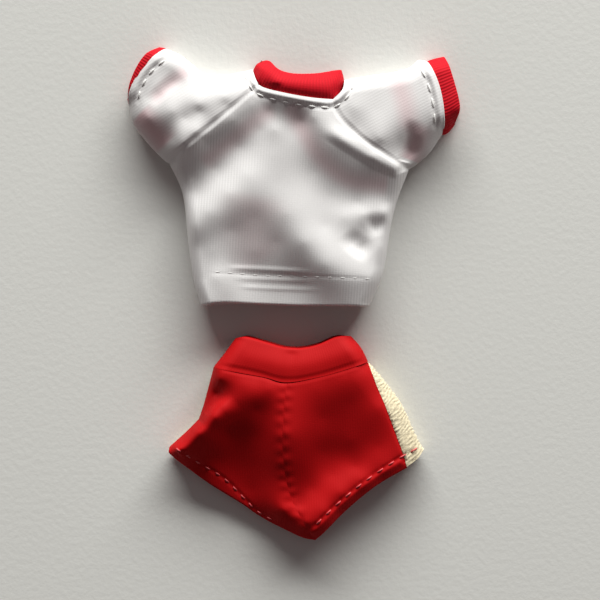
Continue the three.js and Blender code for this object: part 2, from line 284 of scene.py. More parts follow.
# A band of cloth folded double: the outer face, the fold at its free edge, and the inner face. It is open at
# the seam.
def foldedBand(name, grid, spec, sign=1):
    share = np.linspace(0, 1, len(grid))[:, None, None]
    outer = grid + gridNormals(grid, True) * (sign * spec["bulge"] * np.sin(share * math.pi) ** 0.7)
    corners = grid[-1][[0, grid.shape[1] // 2], :2]  # where the band folds flat, and has less room inside
    far = np.linalg.norm(grid[-1][:, None, :2] - corners, axis=-1).min(1)
    wall = spec["wall"] * (0.3 + 0.7 * ease(far / 2.0))[:, None]
    double = turnedUp(outer[::-1], len(grid) - 1, wall, ring=True, sign=-sign)[::-1]
    length = lengthsAlong(double[:, double.shape[1] // 4])
    middleRow = grid[len(grid) // 2]
    around = lengthsAlong(np.concatenate([middleRow, middleRow[:1]]))
    flat = np.stack(np.broadcast_arrays(around[None, :], length[:, None]), -1)
    piece = meshFrom(name, double, plan=flat, ring=True, flip=sign < 0)
    thicken(piece, spec["cloth"])
    return piece


# Cloth and thread finishes. The loops along a rib are given as shares of the rib itself.
loopShare = {"pitch": 0.72, "depth": 0.12}


def clothFinish(name, spec):
    material = bpy.data.materials.new(name)
    material.use_nodes = True
    nodes, links = material.node_tree.nodes, material.node_tree.links
    shader = nodes["Principled BSDF"]
    shader.inputs["Roughness"].default_value = spec["roughness"]
    shader.inputs["Specular IOR Level"].default_value = spec.get("specular", 0.35)
    shader.inputs["Sheen Weight"].default_value = spec.get("sheen", 0.2)
    shader.inputs["Sheen Roughness"].default_value = 0.4
    shader.inputs["Sheen Tint"].default_value = (*spec.get("sheenTint", (1, 1, 1)), 1)
    plan = nodes.new("ShaderNodeUVMap")
    plan.uv_map = "clothPlan"
    turn = nodes.new("ShaderNodeMapping")
    turn.inputs["Rotation"].default_value = (0, 0, math.radians(spec.get("ribTurn", 0)))
    links.new(plan.outputs["UV"], turn.inputs["Vector"])

    ribs = nodes.new("ShaderNodeTexWave")
    ribs.wave_type, ribs.bands_direction, ribs.wave_profile = "BANDS", "X", "SIN"
    ribs.inputs["Scale"].default_value = 0.314159 / spec["ribPitch"]
    ribs.inputs["Distortion"].default_value = 0.35
    ribs.inputs["Detail"].default_value = 1
    ribs.inputs["Detail Scale"].default_value = 0.5
    links.new(turn.outputs["Vector"], ribs.inputs["Vector"])
    loops = nodes.new("ShaderNodeTexWave")
    loops.wave_type, loops.bands_direction, loops.wave_profile = "BANDS", "Y", "SIN"
    loops.inputs["Scale"].default_value = 0.314159 / (spec["ribPitch"] * loopShare["pitch"])
    loops.inputs["Distortion"].default_value = 0.6
    loops.inputs["Detail"].default_value = 1
    links.new(turn.outputs["Vector"], loops.inputs["Vector"])
    fuzz = nodes.new("ShaderNodeTexNoise")
    fuzz.inputs["Scale"].default_value = 3.0
    fuzz.inputs["Detail"].default_value = 6
    links.new(plan.outputs["UV"], fuzz.inputs["Vector"])
    patches = nodes.new("ShaderNodeTexNoise")
    patches.inputs["Scale"].default_value = 0.12
    patches.inputs["Detail"].default_value = 3
    links.new(plan.outputs["UV"], patches.inputs["Vector"])

    def mixed(kind, share, first, second):
        mix = nodes.new("ShaderNodeMix")
        mix.data_type, mix.blend_type = "RGBA", kind
        for socket, value in (("Factor", share), ("A", first), ("B", second)):
            coloured = socket != "Factor"
            target = next(s for s in mix.inputs if s.name == socket and (s.type == "RGBA") == coloured)
            if isinstance(value, bpy.types.NodeSocket):
                links.new(value, target)
            else:
                target.default_value = (*value, 1) if isinstance(value, tuple) else value
        return next(s for s in mix.outputs if s.type == "RGBA")

    def scaled(socket, low, high):
        step = nodes.new("ShaderNodeMapRange")
        step.inputs["To Min"].default_value, step.inputs["To Max"].default_value = low, high
        links.new(socket, step.inputs["Value"])
        return step.outputs["Result"]

    colour = mixed("MIX", scaled(patches.outputs["Fac"], 0, 1), spec["colour"], spec["patchColour"])
    # Painted shade: the colour is darkened along the rib grooves, as shade between the ribs would darken it.
    colour = mixed("MIX", scaled(ribs.outputs["Color"], spec.get("ribShade", 0.22), 0), colour,
                   spec["grooveShadeColour"])
    # Painted shade: a darker pink is mixed in where the mesh's shade attribute is set, standing in for shadow
    # and for red light bounced onto the white cloth.
    if "paintedPinkShade" in spec:
        paintedPinkShade = nodes.new("ShaderNodeAttribute")
        paintedPinkShade.attribute_name = "paintedPinkShade"
        colour = mixed("MIX", paintedPinkShade.outputs["Fac"], colour, spec["paintedPinkShade"])
    links.new(colour, shader.inputs["Base Color"])

    normal = None
    for socket, depth in ((fuzz.outputs["Fac"], spec.get("fuzzDepth", 0.02)),
                          (loops.outputs["Color"], spec["ribDepth"] * loopShare["depth"]),
                          (ribs.outputs["Color"], spec["ribDepth"])):
        bump = nodes.new("ShaderNodeBump")
        bump.inputs["Strength"].default_value = 1
        bump.inputs["Distance"].default_value = depth * mm
        links.new(socket, bump.inputs["Height"])
        if normal:
            links.new(normal, bump.inputs["Normal"])
        normal = bump.outputs["Normal"]
    links.new(normal, shader.inputs["Normal"])
    return material


finishes = {
    "whiteKnit": {
        "colour": (0.78, 0.757, 0.748), "patchColour": (0.75, 0.725, 0.72),
        # the pink below is painted shade and painted red reflection, for the white cloth's shadowed hollows
        "grooveShadeColour": (0.62, 0.58, 0.58), "paintedPinkShade": (0.66, 0.33, 0.36), "ribPitch": 0.56,
        "ribDepth": 0.026, "roughness": 0.68, "specular": 0.22, "sheen": 0.1, "ribShade": 0.08},
    "redRib": {
        "colour": (0.63, 0.007, 0.018), "patchColour": (0.56, 0.005, 0.014),
        "grooveShadeColour": (0.36, 0.003, 0.008), "ribPitch": 0.62, "ribDepth": 0.05, "roughness": 0.7,
        "specular": 0.12, "sheen": 0.03, "sheenTint": (1, 0.3, 0.3), "ribShade": 0.3},
    "redKnit": {
        "colour": (0.47, 0.0025, 0.004), "patchColour": (0.41, 0.0018, 0.003),
        "grooveShadeColour": (0.28, 0.001, 0.0015), "ribPitch": 0.5, "ribDepth": 0.01, "roughness": 0.66,
        "specular": 0.12, "sheen": 0.02, "sheenTint": (1, 0.2, 0.2), "ribShade": 0.08},
    "creamLoop": {
        "colour": (0.80, 0.70, 0.50), "patchColour": (0.74, 0.64, 0.44), "grooveShadeColour": (0.50, 0.40, 0.25),
        "ribPitch": 0.7, "ribDepth": 0.03, "roughness": 0.85, "specular": 0.15, "sheen": 0.3,
        "fuzzDepth": 0.06},
    "whiteThread": {
        "colour": (0.86, 0.84, 0.82), "patchColour": (0.84, 0.82, 0.80), "grooveShadeColour": (0.6, 0.57, 0.56),
        "ribPitch": 0.22, "ribDepth": 0.02, "ribTurn": 35, "roughness": 0.5, "specular": 0.4},
    "redThread": {
        "colour": (0.70, 0.07, 0.08), "patchColour": (0.70, 0.09, 0.10), "grooveShadeColour": (0.3, 0.01, 0.012),
        "ribPitch": 0.22, "ribDepth": 0.02, "ribTurn": 35, "roughness": 0.45, "specular": 0.45},
    "tape": {
        "colour": (0.78, 0.77, 0.75), "patchColour": (0.74, 0.73, 0.71), "grooveShadeColour": (0.5, 0.49, 0.47),
        "ribPitch": 0.8, "ribDepth": 0.08, "roughness": 0.8, "fuzzDepth": 0.08},
    "elastic": {
        "colour": (0.74, 0.72, 0.68), "patchColour": (0.72, 0.70, 0.66), "grooveShadeColour": (0.5, 0.48, 0.45),
        "ribPitch": 0.9, "ribDepth": 0.08, "roughness": 0.7},
}
# across the light the same ribs look deeper than along it
finishes["sleeveKnit"] = dict(finishes["whiteKnit"], ribDepth=0.01)
finish = {name: clothFinish(name, spec) for name, spec in finishes.items()}
print("finishes ready")


# The top: outline.
hemLine = smoothThrough([(-20.0, -2.6), (-15.4, -2.0), (-8, -2.3), (-0.2, -2.6), (8, -2.7), (14.0, -2.8)])
leftSide = smoothThrough([(-20.0, -2.6), (-21.4, 2.7), (-22.4, 9.9), (-23.1, 17.2), (-24.0, 21.0),
                          (-26.2, 25.6)])
rightSide = smoothThrough([(14.0, -2.8), (16.2, 2.3), (17.1, 6.1), (18.2, 13.1), (19.5, 18.3), (21.8, 24.3)])
leftRaglan = smoothThrough([(-26.2, 25.6), (-22.0, 29.3), (-17, 33.4), (-12.5, 37.2), (-8.2, 40.9)])
rightRaglan = smoothThrough([(21.8, 24.3), (14.5, 28.6), (10.2, 32.2), (7.5, 35.2), (6.5, 38.0)])
neckEdge = smoothThrough([(-8.2, 40.9), (-6.8, 40.2), (-2.2, 39.05), (2.6, 38.25), (6.5, 38.0)])
leftNeckSide = smoothThrough([(-8.2, 40.9), (-8.9, 42.4), (-9.5, 44.45)])
rightNeckSide = smoothThrough([(6.5, 38.0), (8.4, 40.0), (8.9, 42.3)])
leftShoulder = smoothThrough([(-9.5, 44.45), (-11.6, 43.9), (-15.4, 43.3), (-19.0, 43.5), (-21.4, 45.3),
                              (-23.8, 47.2), (-26.6, 48.5)])
rightShoulder = smoothThrough([(8.9, 42.3), (14.0, 43.2), (18.5, 43.8), (21.8, 44.8), (23.6, 46.2),
                               (25.2, 46.1)])
leftUnderarm = smoothThrough([(-26.2, 25.6), (-27.4, 26.4), (-31.0, 30.2), (-33.5, 33.9), (-34.3, 37.4)])
rightUnderarm = smoothThrough([(21.8, 24.3), (23.4, 25.4), (25.8, 27.5), (27.7, 30.2), (28.8, 31.9)])
leftCuffLine = smoothThrough([(-34.3, 37.4), (-33.9, 39.6), (-32.6, 42.6), (-30.5, 45.4), (-26.6, 48.5)])
rightCuffLine = smoothThrough([(28.8, 31.9), (28.3, 37.1), (27.2, 41.7), (25.2, 46.1)])
topSides = [leftSide, rightSide]
sleeveSides = [leftShoulder, rightShoulder, leftUnderarm, rightUnderarm]

topLoft = {"middle": 6.6, "seam": 2.4, "sideRound": 2.4, "sleeveRound": 3.6, "backRound": 2.0}

# How the cloth of the top lies: crests and hollows as spots of (x, y, height).
topRelief = {
    "neck": [(-8, 42.4, 6.8), (-6.4, 40.0, 7.7), (-3.0, 38.4, 8.4), (1.0, 37.8, 8.5), (6.5, 38.0, 7.4),
             (8.6, 41.4, 6.6)],
    "neckFoot": [(-6.0, 35.8, 6.6), (-3.0, 35.2, 7.0), (0.2, 33.8, 6.6)],
    "leftRaglanCrest": [(-9.4, 36.8, 8.0), (-13, 33.8, 8.0), (-19, 29.8, 7.3), (-23.4, 26.6, 5.6)],
    "leftRaglanHollow": [(-8.0, 32.0, 6.6), (-12.2, 28.6, 5.8), (-17, 24.4, 4.4), (-21.8, 20.0, 3.2)],
    "leftBand": [(-7.8, 27.6, 7.1), (-10.5, 23.0, 7.9), (-14, 19.4, 8.0), (-18, 15.8, 7.3),
                 (-21.2, 13.0, 6.2)],
    "leftSide": [(-20.6, 8.8, 5.5), (-17.4, 8.0, 6.3), (-19.4, 2.6, 5.9), (-16.6, 2.6, 6.6),
                 (-17.4, -1.8, 6.6)],
    "belly": [(-9, 14.5, 7.1), (-13.6, 12.0, 6.5), (-4.6, 9.6, 6.2), (-9, 8.0, 5.5), (-13.2, 5.0, 5.2),
              (-9, 2.6, 4.2), (-3.4, 1.6, 4.2), (0.6, 1.2, 4.8)],
    "hem": [(-14.6, -2.0, 5.8), (-12, -2.0, 5.1), (-8, -2.2, 4.0), (-2, -2.4, 4.0), (5, -2.5, 5.2),
            (10, -2.6, 6.2), (13.4, -2.6, 5.4)],
    "middleBand": [(-5, 32.0, 7.2), (-5.2, 27.0, 7.4), (-4.8, 21.6, 7.6), (-2.6, 15.4, 8.0), (0.8, 9.8, 8.2),
                   (5.0, 5.4, 8.2), (9.4, 3.4, 7.9), (13.2, 2.8, 6.9)],
    "rollCrest": [(2.6, 34.4, 8.4), (4.6, 32.2, 8.8), (8.6, 29.8, 8.8), (14.6, 26.8, 8.2), (19.6, 24.2, 6.2)],
    "rollFoot": [(0.4, 29.0, 6.9), (2.6, 23.6, 6.2), (6.0, 18.8, 5.6), (11.4, 17.6, 5.2), (17.6, 17.6, 4.7)],
    "rightRise": [(8.8, 14.8, 6.2), (12.6, 15.2, 6.2), (17.0, 15.4, 5.6), (10.2, 11.0, 5.9), (16.4, 8.8, 5.4),
                  (5.0, 13.0, 6.5), (12.6, 7.2, 6.1), (1.8, 18.0, 6.7)],
    "rightHollows": [(15.2, 12.0, 5.0), (12.2, 8.4, 5.8)],
    "rightCorner": [(15.6, 5.0, 5.4), (14.2, 0.6, 5.9), (10.0, 0.8, 7.3)],
    "rightSeam": [(21.0, 25.0, 5.6), (15.0, 28.4, 7.9), (10.4, 32.0, 7.8), (7.6, 35.4, 7.6)],
    "rightSleeve": [(10.8, 42.0, 6.4), (17.0, 42.4, 6.3), (21.6, 43.2, 6.0), (10.6, 36.4, 7.8),
                    (15.0, 36.0, 7.5), (15.8, 30.2, 8.5), (19.0, 32.2, 7.7), (20.4, 38.4, 7.0),
                    (24.6, 39.6, 6.6), (23.0, 34.2, 7.2), (26.2, 35.2, 6.6), (22.0, 28.0, 4.5),
                    (23.2, 31.0, 6.4), (25.8, 30.2, 4.8)],
    "leftSleeveArc": [(-10.4, 40.0, 7.8), (-15.0, 38.4, 8.4), (-20.0, 37.0, 8.5), (-25.2, 35.6, 7.9),
                      (-30.2, 34.4, 6.5)],
    "leftSleeveTop": [(-12, 43.2, 5.2), (-16.5, 42.2, 5.5), (-20.6, 42.2, 5.6), (-24.6, 45.4, 5.6),
                      (-25.2, 41.6, 5.6), (-28.6, 41.4, 5.6), (-31.0, 38.6, 5.2)],
    "leftSleeveUnder": [(-14.6, 36.8, 8.1), (-19.8, 35.4, 8.0), (-22.8, 34.2, 7.5), (-26.4, 30.2, 5.5),
                        (-31.0, 31.0, 4.4)],
    "leftSleeveSeam": [(-16.4, 34.6, 8.5), (-20.2, 31.4, 9.0), (-23.0, 29.0, 8.1), (-26.0, 26.8, 4.6)],
}
topDepth = 0.74  # how much of the relief shows


# A smooth face through all the spots of a relief.
def reliefThrough(relief):
    spots = np.array([spot for run in relief.values() for spot in run], float)
    plan = spots[:, :2]

    def bend(far2):
        return far2 * np.log(np.maximum(far2, 1e-6)) / 2

    count = len(spots)
    gaps = ((plan[:, None] - plan[None]) ** 2).sum(-1)
    table = np.zeros((count + 3, count + 3))
    table[:count, :count] = bend(gaps) + 0.6 * np.eye(count)
    table[:count, count:] = np.concatenate([np.ones((count, 1)), plan], 1)
    table[count:, :count] = table[:count, count:].T
    weights = np.linalg.solve(table, np.concatenate([spots[:, 2], np.zeros(3)]))

    def height(points):
        flat = points.reshape(-1, 2)
        far2 = ((flat[:, None] - plan[None]) ** 2).sum(-1)
        value = bend(far2) @ weights[:count] + weights[count] + flat @ weights[count + 1:]
        return value.reshape(points.shape[:-1])

    return height


topHeight = reliefThrough(topRelief)

# Finer folds on top of the relief.
topFolds = [
    fold([(-25.0, 25.6), (-20.5, 29.2), (-15.0, 33.7), (-10.6, 37.3)], 0.1, 1.2, 2.0, (0.1, 0.15)),
    fold([(-15.5, 4.7), (-6.0, 4.3), (3.5, 3.7)], 0.13, 0.8, 0.8, (0.2, 0.3)),
    fold([(-14.0, 2.6), (-6.0, 2.3), (4.0, 1.9)], 0.08, 0.7, 0.7, (0.2, 0.3)),
    fold([(-13.0, 0.9), (-5.0, 0.5), (5.0, 0.2)], 0.08, 0.7, 0.7, (0.2, 0.3)),
    fold([(-19.0, 3.6), (-6.0, 3.2), (6.0, 2.8), (15.0, 2.4)], -0.05, 0.5, 0.5, (0.1, 0.1)),
    fold([(12.8, 12.4), (15.2, 13.2), (18.0, 13.4)], -0.5, 3.0, 2.6, (0.4, 0.05)),
    fold([(8.6, 11.6), (11.2, 9.0), (14.4, 7.0)], -0.55, 3.0, 2.6, (0.4, 0.4)),
    fold([(4.6, 32.6), (9.2, 29.6), (14.2, 26.6), (20.4, 23.8)], 0.5, 2.5, 2.2, (0.2, 0.08)),
    fold([(20.8, 25.6), (21.6, 29.4), (22.2, 34.4)], -0.5, 1.8, 3.0, (0.05, 0.4)),
    fold([(-29.8, 36.6), (-27.0, 39.8), (-23.4, 43.2)], -0.5, 2.2, 1.7, (0.35, 0.5)),
]
seamSpec = {"depth": 0.2, "width": 0.95}
for seamLine in (leftRaglan, rightRaglan):
    topFolds.append(fold(seamLine[::8].tolist(), -seamSpec["depth"], seamSpec["width"], seamSpec["width"],
                         (0, 0)))


def shifted(line, by):
    d = np.gradient(line, axis=0)
    n = np.stack([-d[:, 1], d[:, 0]], -1)
    return line + by * n / np.linalg.norm(n, axis=1, keepdims=True)


# rows of machine stitching round the neck and the cuffs
stitchSpec = {"pitch": 2.6, "gap": 0.75, "thick": 0.19, "lift": 0.1, "dive": 0.2, "prickDepth": 0.04,
              "prickRound": 0.34}
neckWhole = np.concatenate([leftNeckSide[::-1], neckEdge[1:], rightNeckSide[1:]])
neckRow = shifted(neckWhole, -1.75)
leftCuffRow = shifted(leftCuffLine, -1.9)[3:-3]
rightCuffRow = shifted(rightCuffLine, 1.9)[2:-2]
topHoles = []
for row in (neckRow, leftCuffRow, rightCuffRow):
    topHoles += list(np.concatenate(needleHoles(row, stitchSpec["pitch"], stitchSpec["gap"])))
    topFolds.append(fold(row[::5].tolist(), -0.08, 0.8, 0.8, (0, 0)))
topFolds.append(fold(shifted(neckWhole, -0.75)[::5].tolist(), 0.35, 0.75, 0.8, (0, 0)))
topFolds.append(fold(shifted(leftCuffLine, -0.8)[::5].tolist(), 0.2, 0.8, 0.9, (0, 0)))
topFolds.append(fold(shifted(rightCuffLine, 0.8)[::5].tolist(), 0.25, 0.9, 0.8, (0, 0)))


def edgeRise(points, edges, rounding):
    far = np.min([besideLine(points, edge)[0] for edge in edges], 0)
    share = 1 - np.clip(far / rounding, 0, 1)
    return np.sqrt(np.clip(1 - share ** 2, 0, 1)), far


# The body's sides fold over more sharply than the sleeves do.
def topEdges(points):
    side, farSide = edgeRise(points, topSides, topLoft["sideRound"])
    sleeve, farSleeve = edgeRise(points, sleeveSides, topLoft["sleeveRound"])
    return np.minimum(side, sleeve), np.minimum(farSide, farSleeve)


def topFront(points):
    rise, far = topEdges(points)
    level = topLoft["middle"] + (topHeight(points) - topLoft["middle"]) * topDepth
    folds = foldHeight(points, topFolds) + prickHeight(points, topHoles, stitchSpec["prickDepth"],
                                                       stitchSpec["prickRound"])
    folds = folds + wobble(points, 3, 5.5, 0.1)
    return topLoft["seam"] + (level - topLoft["seam"] + folds * ease(far / 2.4)) * rise


# How a back lies on the paper, with a little air under it.
backLie = {"lift": 0.12, "size": 6.0, "reach": 3.0, "floor": 0.03}


def backFace(points, sides, loft, seed):
    rise, far = edgeRise(points, sides, loft["backRound"])
    lift = backLie["lift"] * (1 + wobble(points, seed, backLie["size"], 1.0)) * ease(far / backLie["reach"])
    return loft["seam"] * (1 - rise) + backLie["floor"] + np.clip(lift, 0, None)


def topBack(points):
    return backFace(points, topSides + sleeveSides, topLoft, 11)


# Painted pink shade: where the white cloth lies in shadow, and where red light from the red parts would fall
# on it, its colour is made a darker pink.
paintedPinkShadeZones = [
    fold([(-29.5, 37.0), (-26.0, 41.0), (-22.0, 44.0)], 0.34, 2.6, 2.0, (0.2, 0.1)),
    fold([(-32.4, 35.4), (-29.6, 32.4), (-26.4, 28.6)], 0.6, 4.2, 4.0, (0.1, 0.15)),
    fold([(-20.0, 25.0), (-13.0, 30.5), (-8.0, 34.6), (-4.5, 36.6)], 0.28, 2.6, 3.0, (0.1, 0.1)),
    fold([(-2.4, 37.4), (0.6, 32.0), (4.0, 26.5), (10.0, 22.0), (18.0, 21.0)], 0.34, 3.6, 3.0, (0.05, 0.05)),
    fold([(19.0, 42.8), (20.5, 38.0), (22.0, 31.0)], 0.34, 3.6, 3.2, (0.1, 0.2)),
    fold([(21.8, 26.0), (23.0, 30.0), (23.4, 34.0)], 0.5, 3.0, 4.0, (0.05, 0.3)),
    fold([(-8.0, 20.0), (-9.0, 12.0), (-6.0, 5.0)], 0.2, 8.0, 9.0, (0.2, 0.2)),
]


def paintedPinkShadeOf(points):
    return np.clip(foldHeight(points, paintedPinkShadeZones), 0, 0.75)


def lifted(plan, heights):
    return np.concatenate([plan, heights[..., None]], -1)


def turnedPlan(points, degrees):
    a = math.radians(degrees)
    x, y = points[..., 0], points[..., 1]
    return np.stack([x * math.cos(a) - y * math.sin(a), x * math.sin(a) + y * math.cos(a)], -1)


# Gives a piece its finish and its body, and says which nodes it stands for.
def made(piece, material, slot, body, *nodes, cut=None, trims=(), across=None):
    piece.data.materials.clear()
    piece.data.materials.append(finish[material])
    if across:
        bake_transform(piece)
    else:
        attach(piece, body)
    if nodes:
        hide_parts(*nodes)
    return piece


# Which way the ribs run, in degrees.
ribTurns = {"top": 3.5, "leftSleeve": 58, "rightSleeve": 62, "shorts": -3}

# The top: front and back panels.
frontGrid = {"across": 170, "up": 170, "corner": 0.6, "cloth": 0.34, "hem": 5.2, "turnGap": 0.75}
across, up = crowded(frontGrid["across"]), np.linspace(0, 1, frontGrid["up"])
plan = fillBetween(at(hemLine, across), at(neckEdge, across),
                   cornered(leftSide, leftRaglan, up, frontGrid["corner"]),
                   cornered(rightSide, rightRaglan, up, frontGrid["corner"]), across, up)
grid = lifted(plan, topFront(plan))
grid = turnedUp(grid, rowsWithin(grid, frontGrid["hem"]), frontGrid["turnGap"])
flat = grid[..., :2]
piece = meshFrom("topFront", grid, plan=turnedPlan(flat, ribTurns["top"]), tints={"paintedPinkShade": paintedPinkShadeOf(flat)})
thicken(piece, frontGrid["cloth"])
made(piece, "whiteKnit", "white_knit", "top", "top_front_panel", cut=(50, 49, 1865))
print("top front ready")

# The back lies on the paper in two halves, with the closure between them.
# where the top's own middle lies, and how it is turned
topFrame = {"turn": -3.5, "hem": (-3.0445, -2.6348)}
# the closure's strips: where they run in the top's own frame, then the height of each one's underside
closure = {"left": -3.4, "right": 3.8, "low": 0.3, "flapTop": 45.4, "underlapTop": 39.4, "underlapSeam": 4.0,
           "tapeHalf": 2.5, "tapeMargin": 1.5, "slit": 0.15, "cloth": 0.3, "tapeThick": 0.35, "along": 90,
           "flap": 0.05, "hook": 0.42, "loop": 1.0, "underlap": 1.6}


def inTop(x, y):
    return turnedPlan(np.stack(np.broadcast_arrays(np.asarray(x, float), np.asarray(y, float)), -1),
                      topFrame["turn"]) + np.array(topFrame["hem"])


backGrid = {"across": 70, "up": 90, "middle": (0.5, 41.2), "turnGap": 0.7}
up = np.linspace(0, 1, backGrid["up"])
share = 1 - (1 - np.linspace(0, 1, backGrid["across"])) ** 2
for name, node, outer, edge, sign, cut in (
        ("topBackRight", "top_back_right_panel", cornered(rightSide, rightRaglan, up, frontGrid["corner"]),
         closure["right"] + closure["slit"], 1, (21, 48, 687)),
        ("topBackLeft", "top_back_left_panel", cornered(leftSide, leftRaglan, up, frontGrid["corner"]),
         closure["left"] - closure["slit"], -1, (22, 48, 737))):
    middle = inTop(np.full(backGrid["up"], edge), np.linspace(*backGrid["middle"], backGrid["up"]))
    bottom = middle[0] + (outer[0] - middle[0]) * share[:, None]
    topRow = middle[-1] + (outer[-1] - middle[-1]) * share[:, None]
    plan = fillBetween(bottom, topRow, middle, outer, share, up)
    grid = lifted(plan, topBack(plan))
    grid = turnedUp(grid, rowsWithin(grid, frontGrid["hem"]), backGrid["turnGap"], sign=-sign)
    piece = meshFrom(name, grid, plan=turnedPlan(grid[..., :2], ribTurns["top"]), flip=sign > 0,
                     tints={"paintedPinkShade": np.zeros(grid.shape[:2])})
    thicken(piece, frontGrid["cloth"])
    made(piece, "whiteKnit", "white_knit", "top", node, cut=cut)


# A flat strip of the closure, from its plan in the top's own frame and the height of its underside.
def closureStrip(name, xs, ys, height, thickness, ripple=0.04, step=None):
    x, y = np.meshgrid(xs, ys)
    plan = inTop(x, y)
    rise = np.full(x.shape, float(height)) + ripple * np.sin(y * 0.9 + x)
    if step:
        rise = rise - step["drop"] * ease((step["edge"] - x) / step["run"])
    piece = meshFrom(name, lifted(plan, rise + thickness), plan=turnedPlan(plan, ribTurns["top"]),
                     tints={"paintedPinkShade": np.zeros(x.shape)})
    thicken(piece, thickness)
    return piece


piece = closureStrip("backFlap", np.linspace(closure["left"], closure["right"], 16),
                     np.linspace(closure["low"], closure["flapTop"], closure["along"]), closure["flap"],
                     closure["cloth"])
made(piece, "whiteKnit", "white_knit", "back_flap", "back_flap", cut=(10, 45.5, 315))
tapeMiddle = (closure["left"] + closure["right"]) / 2
tapeEnds = (tapeMiddle - closure["tapeHalf"], tapeMiddle + closure["tapeHalf"])
tapeLength = np.linspace(closure["tapeMargin"], closure["underlapTop"] - closure["tapeMargin"],
                         closure["along"])
piece = closureStrip("hookTape", np.linspace(*tapeEnds, 12), tapeLength, closure["hook"],
                     closure["tapeThick"])
made(piece, "tape", "closure_tape", "back_flap", "hook_tape")
piece = closureStrip("loopTape", np.linspace(*tapeEnds, 12), tapeLength, closure["loop"],
                     closure["tapeThick"])
made(piece, "tape", "closure_tape", "top", "loop_tape")
piece = closureStrip("backUnderlap", np.linspace(closure["left"] - closure["underlapSeam"],
                                                 closure["right"] - 0.4, 26),
                     np.linspace(closure["low"], closure["underlapTop"], closure["along"]),
                     closure["underlap"], closure["cloth"],
                     step={"edge": closure["left"] - 0.3, "run": 1.4, "drop": 1.05})
made(piece, "whiteKnit", "white_knit", "top", "back_underlap", cut=(12.5, 40, 455))
print("top back ready")


# The sleeves, each one piece folded along the shoulder.
sleeveGrid = {"along": 110, "around": 90, "cloth": 0.34, "turnRows": 12, "turnGap": 0.7}


def sleevePiece(name, seamPlan, cuffPlan, under, shoulder, sign):
    s, t = crowded(sleeveGrid["around"]), np.linspace(0, 1, sleeveGrid["along"])
    plan = fillBetween(at(seamPlan, s), at(cuffPlan, s), at(under, t), at(shoulder, t), s, t)
    front, back = lifted(plan, topFront(plan)), lifted(plan, topBack(plan))
    grid = np.concatenate([front, back[:, -2:0:-1]], 1)
    folded = turnedUp(grid[::-1], sleeveGrid["turnRows"], sleeveGrid["turnGap"], ring=True, sign=-sign)[::-1]
    flat = folded[..., :2]
    piece = meshFrom(name, folded, plan=turnedPlan(flat, ribTurns[name]), ring=True, flip=sign < 0,
                     tints={"paintedPinkShade": paintedPinkShadeOf(flat)})
    thicken(piece, sleeveGrid["cloth"])
    return piece


leftSeam = np.concatenate([leftRaglan, leftNeckSide[1:]])
rightSeam = np.concatenate([rightRaglan, rightNeckSide[1:]])
leftSleevePiece = sleevePiece("leftSleeve", leftSeam, leftCuffLine, leftUnderarm, leftShoulder, 1)
rightSleevePiece = sleevePiece("rightSleeve", rightSeam, rightCuffLine, rightUnderarm, rightShoulder, -1)
made(leftSleevePiece, "sleeveKnit", "white_knit", "left_sleeve", "left_sleeve", cut=(42, 30, 748),
     across=((-18.11, 35.76, 3.7), (-23.17, 41.96, 3.7)))
made(rightSleevePiece, "sleeveKnit", "white_knit", "right_sleeve", "right_sleeve", cut=(42, 30, 748),
     across=((16.59, 33.64, 3.7), (22.36, 39.18, 3.7)))
print("sleeves ready")


# The knitted bands.
bandSpec = {"wall": 0.75, "bulge": 0.12, "cloth": 0.34}
# The back of the neck band lies clear of the flap, which runs on under it.
neckSpec = {"rows": 30, "around": 80, "over": topFront, "sink": 0.75, "seam": 3.0, "round": 3.2,
            "roll": 1.15, "rollPower": 0.9, "slope": -1.0, "floor": 0.52,
            "shape": lambda p: foldHeight(p, [
                fold([(-4.6, 40.4), (-4.9, 42.6), (-5.4, 45.6)], 0.35, 2.2, 1.8, (0.2, 0.3)),
            ])}


def bandGrid(low, high, leftEdge, rightEdge, spec):
    s, t = crowded(spec["around"]), np.linspace(0, 1, spec["rows"])
    plan = fillBetween(at(low, s), at(high, s), at(leftEdge, t), at(rightEdge, t), s, t)
    rise = edgeRise(plan, [leftEdge, rightEdge], spec["round"])[0]
    high = spec.get("high") if "high" in spec else spec["over"](plan[:1]) - spec["sink"]
    bulge = np.sin(math.pi * t[:, None] ** spec.get("rollPower", 1))
    roll = spec.get("slope", 0) * t[:, None] + spec.get("roll", 0) * bulge
    front = spec["seam"] + (high - spec["seam"] + roll + spec.get("shape", lambda p: 0)(plan)) * rise
    back = spec["seam"] * (1 - rise) + spec["floor"] * rise
    return np.concatenate([lifted(plan, front), lifted(plan, back)[:, -2:0:-1]], 1)


neckLow = smoothThrough([(-9.3, 43.9), (-8.6, 41.9), (-6.8, 40.0), (-2.2, 38.8), (2.6, 38.0), (6.5, 37.8),
                         (8.6, 40.0)])
neckHigh = smoothThrough([(-7.6, 45.9), (-6.9, 46.1), (-6.0, 45.7), (-4.3, 44.1), (-2.0, 43.3), (0.6, 43.1),
                          (4.2, 43.3), (8.2, 44.2)])
neckLeft = smoothThrough([(-9.3, 43.9), (-8.6, 45.1), (-7.6, 45.9)])
neckRight = smoothThrough([(8.6, 40.0), (8.6, 42.0), (8.2, 44.2)])
grid = bandGrid(neckLow, neckHigh, neckLeft, neckRight, neckSpec)
made(foldedBand("neckBand", grid, bandSpec), "redRib", "red_rib", "top", "neck_band", cut=(41.4, 10.4, 430))

